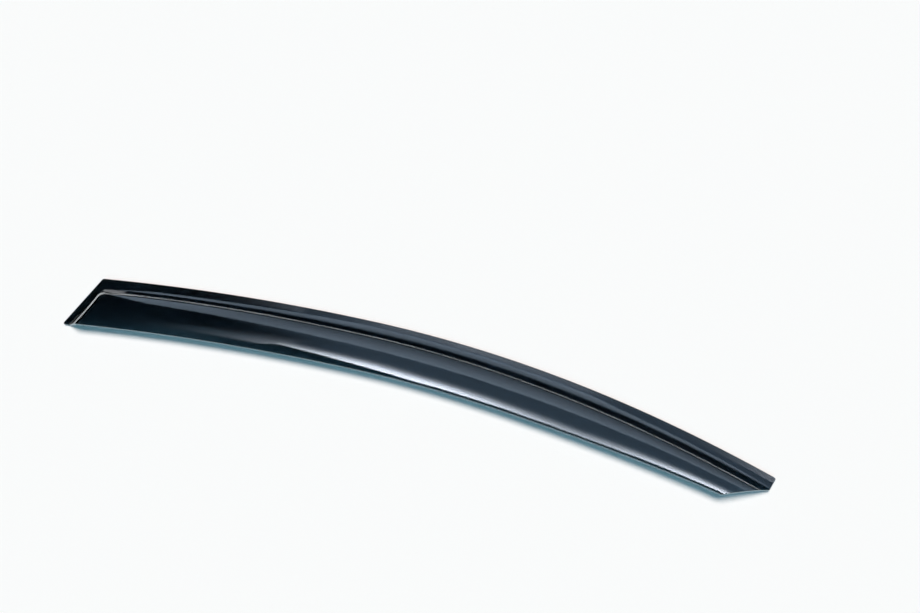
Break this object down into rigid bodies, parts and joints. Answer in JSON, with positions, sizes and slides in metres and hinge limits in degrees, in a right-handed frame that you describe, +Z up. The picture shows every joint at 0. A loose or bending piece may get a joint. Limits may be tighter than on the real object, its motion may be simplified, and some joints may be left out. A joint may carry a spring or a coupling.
{
  "type": "window rain deflector",
  "caption": "Long bowed shell of smoked plastic sheet: a crowned body stepped up from a flat bonding flange along its top and square end, tapering to a cut tip; sheds rain over a side window.",
  "frame": {"origin": "middle of the bounding box in X and Y, on the surface the flange lies on", "axes": "+X along the length from the square end to the tip, +Y from the free edge to the flange's top edge, +Z up from the bonding face to the crown"},
  "size_m": [0.898, 0.1348, 0.0177],
  "materials": {
    "smoked_acrylic": "polished, see-through smoked blue-grey"
  },
  "bodies": {
    "root": {"deflector_shell": "smoked_acrylic"}
  },
  "joints": []
}
